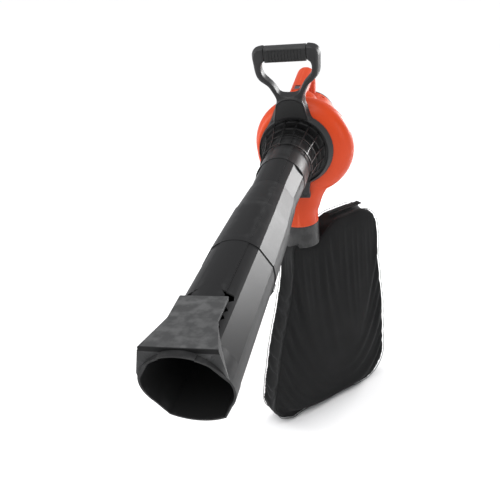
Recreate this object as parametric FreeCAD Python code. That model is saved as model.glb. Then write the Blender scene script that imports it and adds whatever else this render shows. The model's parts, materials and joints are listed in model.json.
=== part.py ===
import FreeCAD, Part
import math
import os

# Garden blower-vac in its vacuum set-up: clamshell motor housing with a scroll, a front frame
# with a D-handle, a two-piece suction tube and a collection bag. Millimetres. The model is
# drawn about the fan axis (+Y points back, +Z up) and exported about the front grip's centre.

V = FreeCAD.Vector
X_AXIS, Y_AXIS, Z_AXIS = V(1, 0, 0), V(0, 1, 0), V(0, 0, 1)

# ---- clearances ----
seat_gap = 0.05         # nested faces of fixed pieces
slide_gap = 0.35        # pieces that slide over each other by hand
running_gap = 0.05      # shaft in a bearing
skin_gap = 0.2          # between the frame's back and the scroll it follows
spigot_gap = 0.2        # outlet spigot in the neck's mouth

# ---- scroll housing ----
wall = 3.0
scroll_y0 = 12.0        # front face of the scroll
scroll_depth = 84.0
rim_r = 84.0            # flat front rim around the intake
scroll_r0 = 97.0        # scroll radius at the left, growing over the top to the right
scroll_growth = 45.0
growth_end = 190.0      # degrees, where the scroll starts to turn into the neck
intake_r = 80.0

# ---- outlet neck ----
neck_x, neck_y = -3.0, 54.0
neck_r = 46.0
neck_end_z = -203.0

# ---- motor casing and rear handle ----
casing_end_y = 290.0
handle_w, handle_h = 44.0, 38.0
handle_start = (70.0, 100.0)        # (y, z) of the handle's centre line
handle_top = (306.0, 126.0)
handle_foot = (280.0, 50.0)
handle_bend_r = 26.0
switch_along = 56.0                 # centre of the switch, from the handle's start
switch_travel = 8.0

# ---- motor ----
shaft_r = 6.0
bearing_r, bearing_w = 13.0, 8.0
can_r, can_wall = 49.0, 3.0
casing_space = 20.0                 # between the motor can and the inside of the casing
casing_r = can_r + casing_space + wall
boss_space = 8.0                    # from the can's outside to the casing screws
can_y0, can_y1 = 101.0, 236.0
core_y0, core_y1 = 136.0, 176.0
armature_r = 28.5
pole_gap = 1.0
commutator_r = 16.0
commutator_y0, commutator_y1 = 200.0, 216.0
impeller_r = 76.0
impeller_y0, impeller_y1 = 44.0, 85.0
blade_count = 10
cooling_fan_r = 40.0

# ---- front frame ----
ring_inner_r = 82.0
ring_depth = 12.0
ring_outer_r = 90.0
ring_shift = 6.0
frame_depth = 28.0
frame_lean = 11.3                   # degrees, the D-handle leans forwards
frame_foot_y, frame_foot_z = 4.0, 80.0
grip_rise = 157.0                   # from the frame's foot up to the grip bar, along the frame
bar_core_r = 10.0
grip_half = 47.0
grip_w, grip_h = 29.0, 35.0
grip_grooves = 11
shield_proud = 5.0

# ---- suction tube ----
tube_wall = 2.2
base_r = 54.0
base_back_y = 25.0
base_end = 192.0                    # distances forward of the intake plane
upper_end = 430.0
waist_at, waist_r = 316.0, 50.0
spigot_r, spigot_end = 54.0, 610.0
sleeve_r = spigot_r + 4.0
lower_start_r = spigot_r + 5.5
collar_end, collar_r = 600.0, spigot_r + 9.0
mouth_at, mouth_r = 901.0, 64.0
mouth_slant = 0.35
mouth_keel = 12.0                   # the underside grows this much deeper towards the mouth
band_len, band_proud = 32.0, 0.8    # smooth band round the mouth
joint_gap = 2.0
strip_rise = 1.5
hub_y0 = -26.0

# ---- nozzle shoe ----
shoe_front = mouth_at + 10.0        # how far forward its front edge stands
shoe_neck = shoe_front - 69.0
shoe_back = shoe_neck - 57.0
shoe_back_w, shoe_front_w = 70.0, 105.0
shoe_top_z = mouth_r + strip_rise + band_proud + 2.2
shoe_plate = 5.0

# ---- bag ----
bag_turn = 45.0                     # degrees, the bag hangs turned about the collar
bag_half = 50.0
bag_wall = 1.5
collar_wall = 3.2
collar_len = 59.0
spigot_len, spigot_seat = 28.0, 5.0   # outlet spigot below and inside the neck
outlet_wall = 2.9
panel_split = 34.0

grip_y = frame_foot_y + frame_depth / 2 * math.cos(math.radians(frame_lean)) \
    - grip_rise * math.sin(math.radians(frame_lean))
grip_z = frame_foot_z + grip_rise * math.cos(math.radians(frame_lean)) \
    + frame_depth / 2 * math.sin(math.radians(frame_lean))
ORIGIN = V(0, grip_y, grip_z)

casing_in_r = casing_r - wall
scroll_mid_y = scroll_y0 + scroll_depth / 2
scroll_y1 = scroll_y0 + scroll_depth
BIG = 2000.0


# ---- helpers ----
def cyl(r, start, length, axis):
    return Part.makeCylinder(r, length, V(*start), axis)


def cyl_y(r, y0, y1, x=0.0, z=0.0):
    return cyl(r, (x, y0, z), y1 - y0, Y_AXIS)


def ring_y(outer, inner, y0, y1, x=0.0, z=0.0):
    return cyl_y(outer, y0, y1, x, z).cut(cyl_y(inner, y0 - 1, y1 + 1, x, z))


def box(x0, x1, y0, y1, z0, z1):
    return Part.makeBox(x1 - x0, y1 - y0, z1 - z0, V(x0, y0, z0))


def centred_box(x, y, z, sx, sy, sz):
    return box(x - sx / 2, x + sx / 2, y - sy / 2, y + sy / 2, z - sz / 2, z + sz / 2)


def fuse(shapes):
    solid = shapes[0]
    if len(shapes) > 1:
        solid = solid.fuse(shapes[1:])
    return solid.removeSplitter()


def spline_wire(points):
    curve = Part.BSplineCurve()
    curve.interpolate(Points=points, PeriodicFlag=True)
    return Part.Wire(curve.toShape())


def loft(wires, ruled=False):
    return Part.makeLoft(wires, True, ruled)


def polygon_prism(points, direction):
    wire = Part.makePolygon(points + [points[0]])
    return Part.Face(wire).extrude(direction)


def turned(shape, centre, axis, angle):
    copy = shape.copy()
    copy.rotate(centre, axis, angle)
    return copy


def leaned(shape):
    return turned(shape, V(0, frame_foot_y, frame_foot_z), X_AXIS, frame_lean)


def rounded(shape, radius, pick):
    edges = [e for e in shape.Edges if pick(e)]
    return shape.makeFillet(radius, edges)


def export(name, shape):
    solids = shape.Solids
    out = solids[0] if len(solids) == 1 else Part.makeCompound(solids)
    out = out.copy()
    out.translate(ORIGIN.negative())
    out.exportStep("parts/%s.step" % name)
    print("%-24s %d solid(s) %9.1f mm3 valid %s" % (name, len(solids), out.Volume, out.isValid()))


# ---- housing ----
def scroll_radius(phi):
    if phi <= growth_end:
        return scroll_r0 + scroll_growth * phi / growth_end
    back = (phi - growth_end) / (360.0 - growth_end)
    return scroll_r0 + scroll_growth * 0.5 * (1 + math.cos(math.pi * back))


def scroll_body(inset):
    """Horn-shaped scroll: each section is a half ellipse out from the flat rim."""
    wires = []
    half = scroll_depth / 2 - inset
    for alpha in (-90, -60, -30, 0, 30, 60, 90):
        points = []
        for phi in range(0, 360, 15):
            rim = rim_r - inset
            out = scroll_radius(phi) - inset
            r = rim + (out - rim) * math.cos(math.radians(alpha))
            a = math.radians(phi)
            y = scroll_mid_y + half * math.sin(math.radians(alpha))
            points.append(V(-r * math.cos(a), y, r * math.sin(a)))
        wires.append(spline_wire(points))
    return loft(wires)


def neck_body(inset, reach=0.0):
    """Outlet neck from the scroll's underside to a round mouth, which may run on by reach.
    Each section is a height, how far it flares past neck_r to the left and right, and its half depth."""
    half = scroll_depth / 2
    flared = [(-60.0, 15.0, 55.0, half - 1.0), (-82.0, 13.0, 47.0, half - 0.5), (-106.0, 11.0, 33.0, half),
              (-131.0, 7.0, 17.0, half + 1.0), (-160.0, 2.5, 6.5, neck_r - 1.0)]
    straight = [(neck_end_z + up, 0.0, 0.0, neck_r) for up in (18.0, 12.0, 6.0, -reach)]
    wires = []
    for z, left, right, depth in flared + straight:
        a, b = neck_r + (left + right) / 2 - inset, depth - inset
        centre = V(neck_x + (right - left) / 2, neck_y, z)
        points = []
        for step in range(12):
            angle = 2 * math.pi * step / 12
            points.append(centre + V(a * math.cos(angle), b * math.sin(angle), 0))
        wires.append(spline_wire(points))
    return loft(wires)


def handle_path():
    """Centre line of the rear handle: rising run, bend, falling run."""
    a, c, b = [V(0, p[0], p[1]) for p in (handle_start, handle_top, handle_foot)]
    d1, d2 = (c - a).normalize(), (b - c).normalize()
    half_turn = math.acos(max(-1.0, min(1.0, d1.dot(d2)))) / 2
    reach = handle_bend_r * math.tan(half_turn)
    p1, p2 = c - d1 * reach, c + d2 * reach
    bisector = (d2 - d1).normalize()
    centre = c + bisector * (handle_bend_r / math.cos(half_turn))
    middle = centre - bisector * handle_bend_r
    edges = [Part.LineSegment(a, p1).toShape(), Part.Arc(p1, middle, p2).toShape(),
             Part.LineSegment(p2, b).toShape()]
    return Part.Wire(edges), d1


def handle_sweep(inset):
    path, direction = handle_path()
    start = V(0, handle_start[0], handle_start[1])
    ellipse = Part.Ellipse(V(0, 0, 0), handle_w / 2 - inset, handle_h / 2 - inset)
    section = Part.Wire(ellipse.toShape())
    section.rotate(V(0, 0, 0), X_AXIS, 90 + math.degrees(math.atan2(direction.z, direction.y)))
    section.translate(start)
    return path.makePipeShell([section], True, True)


def handle_pillar(inset):
    """Flared front foot of the rear handle, down onto the casing."""
    wires = []
    for z, half_x, half_y, y in ((40, 63, 42, 118), (72, 54, 40, 122), (100, 40, 36, 130), (112, 20, 24, 132)):
        points = []
        for step in range(12):
            angle = 2 * math.pi * step / 12
            points.append(V((half_x - inset) * math.cos(angle), y + (half_y - inset) * math.sin(angle), z))
        wires.append(spline_wire(points))
    return loft(wires)


def casing_body():
    return cyl_y(casing_r, scroll_y1 - 12, casing_end_y)


def on_handle(shape, along, rise):
    """Moves a shape drawn at the origin (Y along, Z out) onto the handle's rising run."""
    _, direction = handle_path()
    slope = math.degrees(math.atan2(direction.z, direction.y))
    up = X_AXIS.cross(direction)
    copy = turned(shape, V(0, 0, 0), X_AXIS, slope)
    copy.translate(V(0, handle_start[0], handle_start[1]) + direction * along + up * rise)
    return copy


casing_screws = [(y, z) for y in (112.0, casing_end_y - 16) for z in (-can_r - boss_space, can_r + boss_space)]
handle_screws = [(220.0, 116.5)]
screw_head_r, screw_r, boss_r = 3.6, 1.6, 4.6


def screw_spots():
    return casing_screws + handle_screws


def make_housing():
    outer = fuse([scroll_body(0), neck_body(0)])
    outer = outer.fuse([casing_body(), handle_pillar(0), handle_sweep(0)])
    chamber = scroll_body(wall).fuse([neck_body(wall, 4.0)])
    casing_room = cyl_y(casing_in_r, scroll_y1, casing_end_y + 5)
    handle_room = handle_sweep(wall).cut(box(-BIG, BIG, -BIG, scroll_y1 + 6, -BIG, BIG))
    pillar_room = handle_pillar(wall + 1).cut(box(-BIG, BIG, -BIG, scroll_y1 + 6, -BIG, BIG))
    shell = outer.cut(chamber).cut([casing_room, handle_room, pillar_room])
    shell = shell.cut(cyl_y(intake_r, scroll_y0 - 5, scroll_y0 + 2 * wall))
    bosses = []
    for y, z in screw_spots():
        bosses.append(cyl(boss_r, (-52, y, z), 104, X_AXIS).common(casing_or_handle()))
    shell = shell.fuse(bosses)
    shell = shell.cut(cyl_y(bearing_r + 6, scroll_y1 - wall - 2, scroll_y1 + 1))
    cuts = []
    for y, z in screw_spots():
        cuts.append(cyl(screw_r, (-BIG, y, z), 2 * BIG, X_AXIS))
    cuts += vent_slots()
    cuts.append(switch_well())
    cuts.append(lug_plate(seat_gap))
    cuts.append(plug_well())
    for x, z in frame_screw_spots():
        cuts.append(cyl_y(screw_r, -40, scroll_y0 + 2.5, x, z))
    shell = shell.cut(cuts)
    left = shell.common(box(-BIG, 0, -BIG, BIG, -BIG, BIG))
    right = shell.common(box(0, BIG, -BIG, BIG, -BIG, BIG))
    for y, z in screw_spots():
        right = right.cut(cyl(screw_head_r + 0.4, (screw_head_x(z), y, z), BIG, X_AXIS))
    export("housing_left", biggest(left))
    export("housing_right", biggest(right))


def biggest(shape):
    return max(shape.Solids, key=lambda s: s.Volume)


def casing_or_handle():
    return cyl_y(casing_r - 1, scroll_y1 - 1, casing_end_y).fuse([handle_sweep(1.0)])


def screw_head_x(z):
    if abs(z) < casing_r:
        return math.sqrt(casing_r ** 2 - z ** 2) - 6.0
    return handle_w / 2 - 6.0


def vent_slots():
    slots = []
    for row in range(7):
        z = -30.0 + 10.0 * row
        for side in (-1, 1):
            x0, x1 = sorted((side * 50.0, side * 90.0))
            slots.append(box(x0, x1, 150, 232, z - 2.2, z + 2.2))
    return slots


def switch_well():
    return on_handle(centred_box(0, 0, 0, 22, 34, 14), switch_along, handle_h / 2)


lug_y, lug_z, lug_t = casing_end_y + 27, 58.0, 8.0
lug_hole_r = 5.0


def lug_plate(grow):
    return centred_box(0, lug_y - 22, lug_z, lug_t + 2 * grow, 36, 20 + 2 * grow)


plug_y, plug_z = handle_foot[0] + 14, 96.0
plug_w, plug_h = 24.0, 18.0


def plug_well():
    return box(-plug_w / 2, plug_w / 2, plug_y - 12, plug_y + 40, plug_z - plug_h / 2, plug_z + plug_h / 2)


def frame_screw_spots():
    return [(-22.0, -108.0), (22.0, -108.0)]


def make_housing_screws():
    screws = []
    for y, z in screw_spots():
        head_x = screw_head_x(z)
        head = cyl(screw_head_r, (head_x, y, z), 2.4, X_AXIS)
        shank = cyl(screw_r - seat_gap, (head_x - 30, y, z), 30, X_AXIS)
        drive = centred_box(head_x + 2.4, y, z, 2.4, 0.9, 4.6).fuse([centred_box(head_x + 2.4, y, z, 2.4, 4.6, 0.9)])
        screws.append(head.fuse([shank]).cut(drive))
    export("housing_screws", Part.makeCompound(screws))


def make_rear_cover():
    cap = cyl_y(casing_r, casing_end_y, casing_end_y + 12)
    cap = rounded(cap, 7.0, lambda e: abs(e.BoundBox.YMin - casing_end_y - 12) < 0.01 and e.BoundBox.XLength > 10)
    cap = cap.cut(cyl_y(casing_in_r - 2, casing_end_y - 1, casing_end_y + 8.5))
    spigot = ring_y(casing_in_r - seat_gap, casing_in_r - 3, casing_end_y - 5, casing_end_y + 2)
    cap = cap.fuse([spigot])
    slots = []
    for row in range(9):
        z = -48.0 + 12.0 * row
        half = math.sqrt(60.0 ** 2 - z ** 2) if abs(z) < 60 else 0
        slots.append(box(-half, half, casing_end_y + 6, casing_end_y + 20, z - 2.6, z + 2.6))
    cap = cap.cut(slots)
    post = box(-3, 3, casing_end_y + 8.5, casing_end_y + 12, -casing_in_r + 6, casing_in_r - 6)
    boss = cyl_y(9, casing_end_y + 8.5, casing_end_y + 12)
    cap = cap.fuse([post, boss])
    cap = cap.cut([lug_plate(seat_gap), handle_sweep(-seat_gap)])
    for y, z in casing_screws:
        cap = cap.cut(cyl(boss_r + 1, (-80, y, z), 160, X_AXIS))
    export("rear_cover", biggest(cap))


def make_strap_lug():
    plate = lug_plate(0)
    eye = cyl(12, (-lug_t / 2, lug_y, lug_z), lug_t, X_AXIS)
    lug = plate.fuse([eye]).cut(cyl(lug_hole_r, (-10, lug_y, lug_z), 20, X_AXIS))
    export("strap_lug", lug.removeSplitter())


def make_mains_inlet():
    outer = box(-plug_w / 2 + seat_gap, plug_w / 2 - seat_gap, plug_y - 11, plug_y + 14,
                plug_z - plug_h / 2 + seat_gap, plug_z + plug_h / 2 - seat_gap)
    outer = rounded(outer, 3.0, lambda e: e.BoundBox.YLength > 20)
    room = box(-plug_w / 2 + 2.5, plug_w / 2 - 2.5, plug_y - 5, plug_y + 15,
               plug_z - plug_h / 2 + 2.5, plug_z + plug_h / 2 - 2.5)
    body = outer.cut(room)
    pins = []
    for x in (-4.5, 4.5):
        body = body.cut(cyl_y(2.0 + seat_gap, plug_y - 12, plug_y, x, plug_z))
        pins.append(cyl_y(2.0, plug_y - 11, plug_y + 10, x, plug_z))
    export("mains_inlet", body)
    export("inlet_pins", Part.makeCompound(pins))


# ---- switch ----
def make_switch():
    bezel = centred_box(0, 0, -0.5, 22 - 2 * seat_gap, 34 - 2 * seat_gap, 6)
    slot = centred_box(0, 0, 0, 13, 17 + switch_travel, 20)
    export("switch_bezel", on_handle(bezel.cut(slot), switch_along, handle_h / 2 - 1.5))
    module = centred_box(0, 0, -13.5, 18, 36, 15)
    export("switch_module", on_handle(module, switch_along, handle_h / 2 - 1.5))
    stem = centred_box(0, -switch_travel / 2, -3.1, 8, 10, 4.5)
    cap = centred_box(0, -switch_travel / 2, 1.0, 12, 16, 5.5)
    cap = rounded(cap, 1.2, lambda e: e.BoundBox.ZMin > 3.7)
    ridges = [centred_box(0, -switch_travel / 2 + d, 4.0, 10, 1.2, 1.6) for d in (-5, -2.5, 0, 2.5, 5)]
    knob = stem.fuse([cap]).cut(ridges)
    export("power_switch", on_handle(knob, switch_along, handle_h / 2 - 1.5))


# ---- motor ----
def make_motor():
    hub = cyl_y(bearing_r + 4, scroll_y1 - wall + 0.5, scroll_y1 + 14)
    bracket = cyl_y(can_r + 4, scroll_y1, can_y0).fuse([hub])
    bracket = bracket.cut(cyl_y(bearing_r, scroll_y1 + 2, scroll_y1 + 20))
    bracket = bracket.cut(cyl_y(shaft_r + 2, 0, scroll_y1 + 20))
    export("motor_front_bracket", bracket)
    front = ring_y(bearing_r - seat_gap, shaft_r + running_gap, scroll_y1 + 2, scroll_y1 + 2 + bearing_w)
    export("front_bearing", front)
    can = ring_y(can_r, can_r - can_wall, can_y0, can_y1)
    brush_y = (commutator_y0 + commutator_y1) / 2
    windows = [centred_box(s * can_r, brush_y, 0, 12, 12 + 2 * slide_gap, 16 + 2 * slide_gap) for s in (-1, 1)]
    export("motor_can", can.cut(windows))
    rear = cyl_y(can_r, can_y1, can_y1 + 5).fuse([cyl_y(bearing_r + 4, can_y1 - 10, can_y1 + 5)])
    rear = rear.cut(cyl_y(bearing_r, can_y1 - 11, can_y1 - 1)).cut(cyl_y(shaft_r + 2, 0, can_y1 + 3))
    vents = [turned(box(-7, 7, can_y1 - 20, can_y1 + 10, 24, 42), V(0, 0, 0), Y_AXIS, 60 * k) for k in range(6)]
    export("motor_rear_bracket", rear.cut(vents))
    back = ring_y(bearing_r - seat_gap, shaft_r + running_gap, can_y1 - 9, can_y1 - 1)
    export("rear_bearing", back)
    bore_r = armature_r + pole_gap
    core = ring_y(can_r - can_wall - seat_gap, can_r - can_wall - 6, core_y0, core_y1)
    pole_ring = ring_y(can_r - can_wall - 3, bore_r, core_y0, core_y1)
    keep = [box(-22, 22, 0, BIG, 0, BIG), box(-22, 22, 0, BIG, -BIG, 0)]
    poles = [pole_ring.common(k) for k in keep]
    export("stator_core", biggest(core.fuse(poles)))
    coils = []
    for side in (-1, 1):
        blank = ring_y(can_r - can_wall - 7, bore_r + 1, core_y0 - 8, core_y1 + 8)
        wedge = box(*sorted((side * 23.0, side * 60.0)), core_y0 - 10, core_y1 + 10, -22, 22)
        coils.append(blank.common(wedge))
    export("field_coils", Part.makeCompound(coils))
    holders, brushes = [], []
    mid = (commutator_y0 + commutator_y1) / 2
    for side in (-1, 1):
        x0, x1 = commutator_r + 2.5, can_r + 3
        holder = box(*sorted((side * x0, side * x1)), mid - 6, mid + 6, -8, 8)
        tunnel = box(*sorted((side * (x0 - 1), side * (x1 - 2))), mid - 4 - seat_gap, mid + 4 + seat_gap,
                     -5 - seat_gap, 5 + seat_gap)
        holders.append(holder.cut(tunnel))
        brush = box(*sorted((side * (commutator_r - 4), side * (commutator_r + 20))), mid - 4, mid + 4, -5, 5)
        brushes.append(brush.cut(cyl_y(commutator_r + slide_gap, 0, BIG)))
    export("brush_holders", Part.makeCompound(holders))
    export("carbon_brushes", Part.makeCompound(brushes))


def make_rotor():
    nut_y0 = 24.0
    export("rotor_shaft", cyl_y(shaft_r, nut_y0 + 2, can_y1 - 1))
    bore = shaft_r + seat_gap
    armature = ring_y(armature_r, bore, core_y0, core_y1)
    slots = [turned(box(-1.2, 1.2, 0, BIG, armature_r - 6, armature_r + 5), V(0, 0, 0), Y_AXIS, 30 * k)
             for k in range(12)]
    export("armature_core", armature.cut(slots))
    ends = [ring_y(armature_r - 3, bore, core_y0 - 9, core_y0), ring_y(armature_r - 3, bore, core_y1, core_y1 + 9)]
    export("armature_windings", Part.makeCompound(ends))
    bars = ring_y(commutator_r, bore, commutator_y0, commutator_y1)
    slits = [turned(box(-0.4, 0.4, 0, BIG, commutator_r - 1, commutator_r + 5), V(0, 0, 0), Y_AXIS, 15 * k)
             for k in range(24)]
    export("commutator", bars.cut(slits))
    fan = ring_y(cooling_fan_r, bore, 113.0, 115.0).fuse([ring_y(12, bore, 113.0, 119.0)])
    vanes = [turned(box(-0.9, 0.9, 115, 119, 11, cooling_fan_r - 1), V(0, 0, 0), Y_AXIS, 30 * k) for k in range(12)]
    export("cooling_fan", fuse([fan] + vanes))
    back_plate = ring_y(impeller_r, bore, impeller_y1 - 3, impeller_y1)
    hub = ring_y(18, bore, impeller_y0 + 6, impeller_y1)
    blades = []
    for k in range(blade_count):
        blade = box(-1.3, 1.3, impeller_y0, impeller_y1 - 2, 15, impeller_r - 1)
        taper = polygon_prism([V(-5, impeller_y0 - 1, 10), V(-5, impeller_y0 - 1, 55), V(-5, impeller_y0 + 12, 10)],
                              V(10, 0, 0))
        blades.append(turned(blade.cut(taper), V(0, 0, 0), Y_AXIS, 360.0 / blade_count * k))
    export("impeller", fuse([back_plate, hub] + blades))
    spacer_y = impeller_y0 + 6
    blade = centred_box(0, spacer_y - 3, 0, 92, 3, 16)
    blade = rounded(blade, 5.0, lambda e: e.BoundBox.YLength > 2.9 and e.BoundBox.YLength < 3.1)
    blade = blade.cut(cyl_y(bore, 0, BIG))
    export("shredder_blade", blade)
    washer = ring_y(11, bore, spacer_y - 1.5, spacer_y)
    export("blade_washers", Part.makeCompound([washer, ring_y(11, bore, spacer_y - 6.5, spacer_y - 4.5)]))
    hexagon = [V(10 * math.cos(math.radians(60 * k)), nut_y0 + 5, 10 * math.sin(math.radians(60 * k)))
               for k in range(6)]
    nut = polygon_prism(hexagon, V(0, spacer_y - 6.5 - nut_y0 - 5, 0)).cut(cyl_y(bore, 0, BIG))
    export("impeller_nut", nut)


# ---- intake ----
def make_intake():
    flange = ring_y(rim_r, intake_r - 3, scroll_y0 - 2.5, scroll_y0)
    cup = ring_y(intake_r - seat_gap, intake_r - 3, scroll_y0 - 2.5, scroll_y0 + 8)
    plate = ring_y(intake_r - seat_gap, base_r + slide_gap, scroll_y0 + 5, scroll_y0 + 8)
    hub = ring_y(base_r + 3.4, base_r + slide_gap, hub_y0, scroll_y0 + 8)
    export("intake_socket", fuse([flange, cup, plate, hub]))


guard_r, guard_tail_r = intake_r - 4.0, base_r + 6.0
guard_taper = [(16.5, 1.0), (0.0, 1.0), (-30.0, 0.6), (-62.0, 0.25), (-108.0, 0.0), (-112.0, 0.0)]
guard_profile = [(y, guard_tail_r + (guard_r - guard_tail_r) * share) for y, share in guard_taper]
guard_thick = 3.0


def make_guard():
    """Cage of rings and ribs from the intake down to the tube."""
    pieces = []
    for y, r in guard_profile[1:5]:
        pieces.append(ring_y(r, r - guard_thick, y - 1.5, y + 1.5))
    pieces.append(ring_y(guard_r, guard_r - 4.0, scroll_y0 + 1.5, scroll_y0 + 5))
    outer = [V(-1.1, y, r) for y, r in guard_profile]
    inner = [V(-1.1, y, r - guard_thick) for y, r in reversed(guard_profile)]
    bar = polygon_prism(outer + inner, V(2.2, 0, 0))
    for k in range(16):
        pieces.append(turned(bar, V(0, 0, 0), Y_AXIS, 360.0 / 16 * k + 11.25))
    cage = fuse(pieces)
    export("inlet_guard", cage)


# ---- front frame ----
frame_outer = [(0, 251.5), (50, 251), (65, 246.5), (72.5, 236), (72.5, 217), (71.5, 200), (67, 182), (58, 171.5),
               (46, 162), (38, 149), (31.5, 136), (29, 122), (31, 108), (37, 95), (48, 78), (62, 58)]
frame_window = [(0, 221), (44, 221), (54, 217.5), (57.5, 208), (57.5, 196), (54, 186), (46, 176), (36, 165),
                (29, 153), (23, 142.5), (13, 137.5), (0, 136.5)]
shield_outline = [(0, 133.5), (9, 133), (18, 130.5), (26, 125), (31.5, 119), (35, 104), (39, 88), (41, 76)]


def frame_plane(points, y):
    """Points given at their height above the fan axis, laid on the upright, unleaned frame."""
    stretch = 1 / math.cos(math.radians(frame_lean))
    return [V(x, y, frame_foot_z + (z - frame_foot_z) * stretch) for x, z in points]


def grown(points, d, centre_z):
    out = []
    for x, z in points:
        length = math.hypot(x, z - centre_z)
        k = 1 + d / length
        out.append((x * k, centre_z + (z - centre_z) * k))
    return out


def arch_wire(points, y):
    """Smooth symmetric arch from its right half, closed by a flat bottom edge."""
    full = [(-x, z) for x, z in reversed(points) if x > 0.01] + list(points)
    vectors = frame_plane(full, y)
    curve = Part.BSplineCurve()
    curve.interpolate(Points=vectors)
    bottom = Part.LineSegment(vectors[-1], vectors[0]).toShape()
    return Part.Wire([curve.toShape(), bottom])


def loop_wire(points, y):
    """Smooth symmetric loop from its right half, whose ends lie on the middle line."""
    full = [(-x, z) for x, z in reversed(points[1:-1])] + list(points)
    return spline_wire(frame_plane(full, y))


def make_front_frame():
    front = arch_wire(frame_outer, frame_foot_y)
    belly_out = [(x + 5 if x > 20 else x, z) for x, z in frame_outer]
    belly = arch_wire(belly_out, frame_foot_y + 0.65 * frame_depth)
    back = arch_wire(belly_out, frame_foot_y + frame_depth)
    upright = loft([front, belly], True).fuse([loft([belly, back], True)])
    window_front = loop_wire(frame_window, frame_foot_y - 1)
    window_back = loop_wire(frame_window, frame_foot_y + frame_depth + 1)
    upright = upright.cut(loft([window_front, window_back], True))
    block_front = arch_wire(shield_outline, frame_foot_y - shield_proud)
    block_back = arch_wire(grown(shield_outline, 1.5, 80), frame_foot_y + 2)
    upright = upright.fuse([loft([block_front, block_back], True)])
    bar_z = frame_foot_z + grip_rise
    bar_y = frame_foot_y + frame_depth / 2
    upright = upright.cut(centred_box(0, bar_y, bar_z, 2 * grip_half, frame_depth + 20, 40))
    core = cyl(bar_core_r, (-grip_half - 6, bar_y, bar_z), 2 * grip_half + 12, X_AXIS)
    upright = upright.fuse([core])
    upright = leaned(upright)
    ring = loft([Part.Wire(Part.Circle(V(1, 0, 0), Y_AXIS, ring_inner_r + 2.5).toShape()),
                 Part.Wire(Part.Circle(V(ring_shift, ring_depth, 2), Y_AXIS, ring_outer_r).toShape())], True)
    foot = polygon_prism([V(-38, -3, -70), V(-33, -3, -100), V(-35, -3, -118), V(35, -3, -118), V(33, -3, -100),
                          V(38, -3, -70)], V(0, 18, 0))
    upright = upright.cut(box(-BIG, BIG, -BIG, BIG, -BIG, 62))
    frame = upright.fuse([ring, foot])
    frame = frame.cut(cyl_y(ring_inner_r, -60, BIG))
    frame = frame.cut(cyl_y(rim_r + seat_gap, scroll_y0 - 2.5, BIG))
    frame = frame.cut([scroll_body(-skin_gap), neck_body(-skin_gap)])
    frame = frame.cut(leaned(shield_pocket(0)))
    for x, z in frame_screw_spots():
        frame = frame.cut([cyl_y(screw_r, -40, 40, x, z), cyl_y(screw_head_r + 0.4, -40, 0, x, z)])
    export("front_frame", biggest(frame))


def shield_pocket(gap):
    """Shallow arched pocket in the shield's face; the panel is the same shape less a gap."""
    inner = grown(shield_outline, -3.0 - gap, 80)
    face = arch_wire(inner, frame_foot_y - shield_proud - 1 + gap)
    floor = arch_wire(inner, frame_foot_y - shield_proud + 3)
    return loft([face, floor], True)


def make_shield_panel():
    panel = leaned(shield_pocket(0.15))
    panel = panel.cut(cyl_y(ring_inner_r + 5.5, -60, BIG))
    export("shield_panel", biggest(panel))


def make_front_grip():
    bar_z = frame_foot_z + grip_rise
    bar_y = frame_foot_y + frame_depth / 2
    half = grip_half - seat_gap
    sleeve = centred_box(0, bar_y, bar_z, 2 * half, grip_w, grip_h)
    sleeve = rounded(sleeve, 9.0, lambda e: e.BoundBox.XLength > 20)
    shell = centred_box(0, bar_y, bar_z, 2 * half, grip_w + 10, grip_h + 10)
    inner = centred_box(0, bar_y, bar_z, 2 * half, grip_w - 3, grip_h - 3)
    inner = rounded(inner, 7.5, lambda e: e.BoundBox.XLength > 20)
    rind = shell.cut(inner)
    grooves = []
    for k in range(grip_grooves):
        x = (k - (grip_grooves - 1) / 2) * 7.2
        grooves.append(rind.common(centred_box(x, bar_y - 10, bar_z, 2.4, grip_w, grip_h - 8)))
    sleeve = sleeve.cut(grooves).cut(cyl(bar_core_r + seat_gap, (-60, bar_y, bar_z), 120, X_AXIS))
    export("front_grip", leaned(sleeve))


def make_frame_screws():
    screws = []
    for x, z in frame_screw_spots():
        head = cyl_y(screw_head_r, -2.4, 0, x, z)
        shank = cyl_y(screw_r - seat_gap, 0, scroll_y0 + 2, x, z)
        drive = centred_box(x, -2.4, z, 0.9, 2.4, 4.6).fuse([centred_box(x, -2.4, z, 4.6, 2.4, 0.9)])
        screws.append(head.fuse([shank]).cut(drive))
    export("frame_screws", Part.makeCompound(screws))


# ---- suction tube ----
flat_from, flat_to = 14.0, 50.0     # degrees up from the side: the tube's long facet
low_mid = -46.0                     # lower facets: middle angle and half angles
low_half, low_half_mouth = 16.0, 12.0
strip_half = 22.0                   # half angle of the raised strip along the top


def at(r, angle, y):
    a = math.radians(angle)
    return V(r * math.cos(a), y, r * math.sin(a))


def facet_points(r, strip, y, half, keel, side):
    """Corner points around the tube, counter-clockwise from the right facet, each with its next edge.
    Keel is how much deeper the underside is, and side is the edge across the two side facets."""
    top = 90 - strip_half
    low_from, low_to = low_mid - half, low_mid + half
    right = [(at(r, flat_from, y), side), (at(r, flat_to, y), "arc"), (at(r, top, y), "line")]
    crown = [(at(r + strip, top, y), "arc"), (at(r + strip, 180 - top, y), "line")]
    left = [(at(r, 180 - top, y), "arc"), (at(r, 180 - flat_to, y), side), (at(r, 180 - flat_from, y), "arc")]
    low = [(at(r, 180 - low_to, y), "line"), (at(r + keel, 180 - low_from, y), "arc"),
           (at(r + keel, low_from + 360, y), "line"), (at(r, low_to + 360, y), "arc")]
    return right + crown + left + low


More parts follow.
